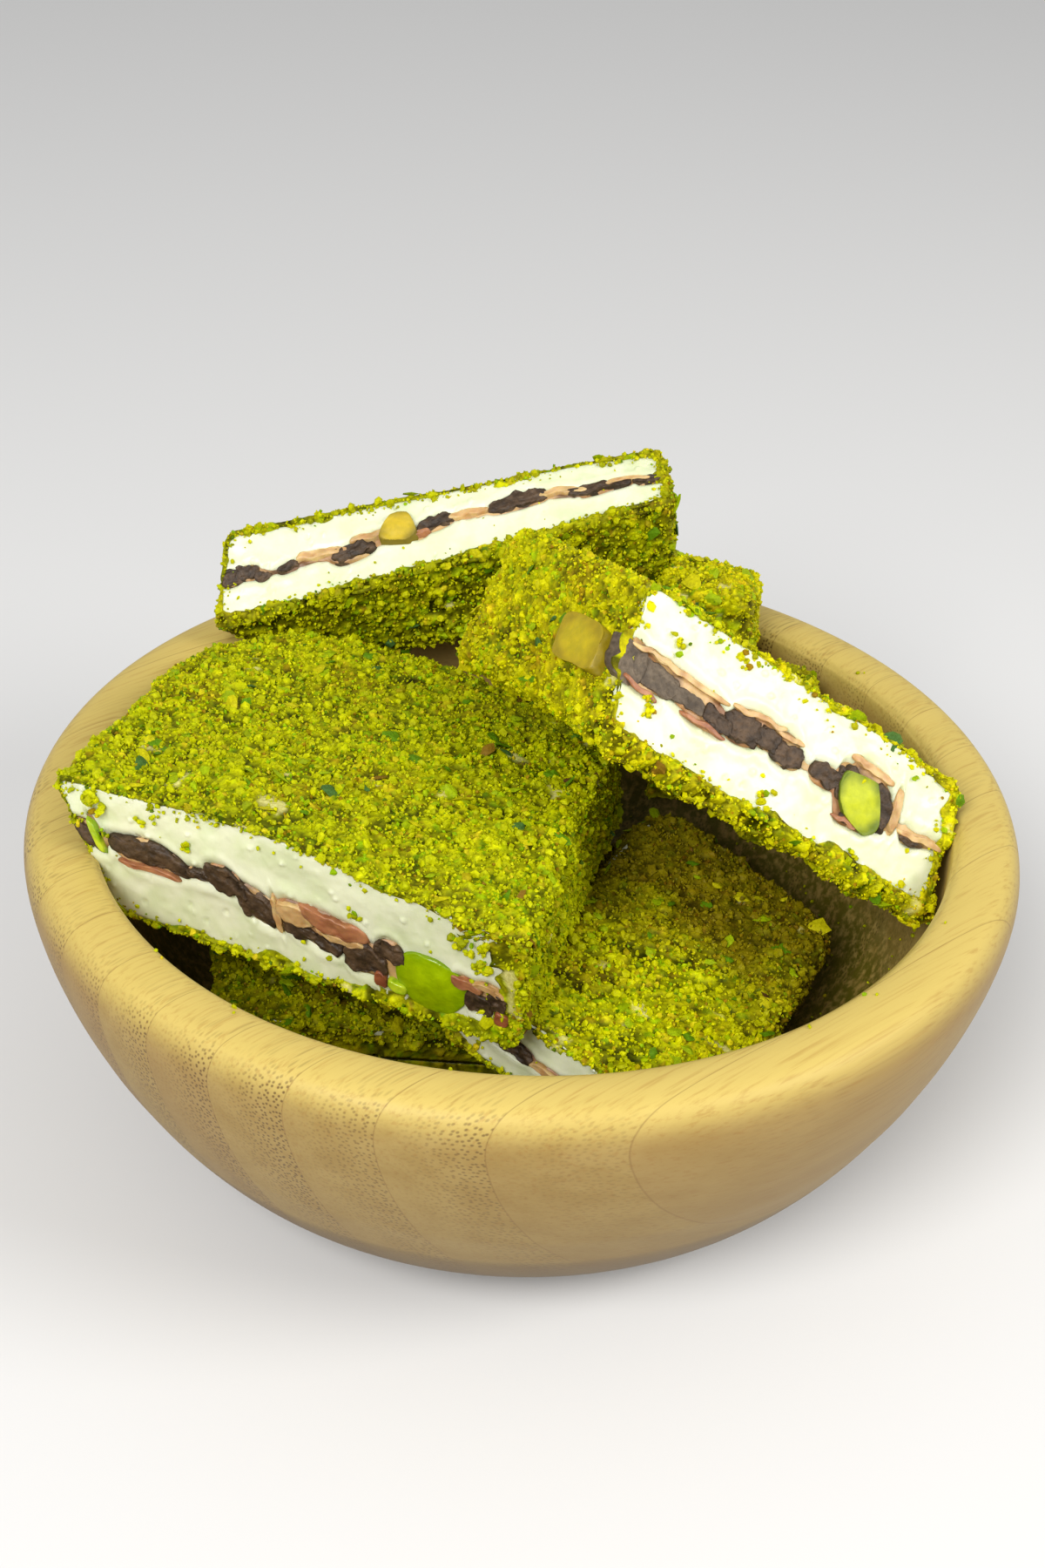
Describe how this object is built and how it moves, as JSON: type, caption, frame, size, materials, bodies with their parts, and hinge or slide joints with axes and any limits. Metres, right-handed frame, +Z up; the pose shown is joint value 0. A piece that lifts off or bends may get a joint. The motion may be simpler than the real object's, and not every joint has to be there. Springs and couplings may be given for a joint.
{
  "type": "turkish delight",
  "caption": "Cut slabs of layered white Turkish delight with a chocolate and nut filling and a green pistachio crumb coat, heaped in a small round turned bamboo bowl.",
  "frame": {"origin": "middle of the bowl's flat base, on the surface it stands on", "axes": "+Z up through the bowl's axis; -Y towards the front, where the large slab's cut face looks; +X to the right seen from the front"},
  "size_m": [0.12, 0.12, 0.0735],
  "materials": {
    "bamboo": "smooth satin laminated bamboo, pale golden with brown fibre dots and streaks",
    "delight_white": "soft glossy white jelly, slightly translucent, with small bubbles",
    "chocolate_filling": "rough dark chocolate and nut paste with peach smears",
    "pistachio": "bright yellow-green cut pistachio kernel",
    "nut": "golden brown nut with a waxy shine",
    "crumb_coat": "fine ground pistachio in yellow-green, bright green and brown"
  },
  "bodies": {
    "root": {"bowl": "bamboo", "slab_a_lower": "delight_white", "slab_a_filling": "chocolate_filling", "slab_a_upper": "delight_white", "slab_b_lower": "delight_white", "slab_b_filling": "chocolate_filling", "slab_b_upper": "delight_white", "slab_c_lower": "delight_white", "slab_c_filling": "chocolate_filling", "slab_c_upper": "delight_white", "slab_d_lower": "delight_white", "slab_d_filling": "chocolate_filling", "slab_d_upper": "delight_white", "slab_e_lower": "delight_white", "slab_e_filling": "chocolate_filling", "slab_e_upper": "delight_white", "slab_f_lower": "delight_white", "slab_f_filling": "chocolate_filling", "slab_f_upper": "delight_white", "slab_g_lower": "delight_white", "slab_g_filling": "chocolate_filling", "slab_g_upper": "delight_white", "slab_a_pistachio": "pistachio", "slab_b_pistachio": "pistachio", "slab_c_pistachio": "pistachio", "slab_c_end_nut": "nut"}
  },
  "joints": []
}
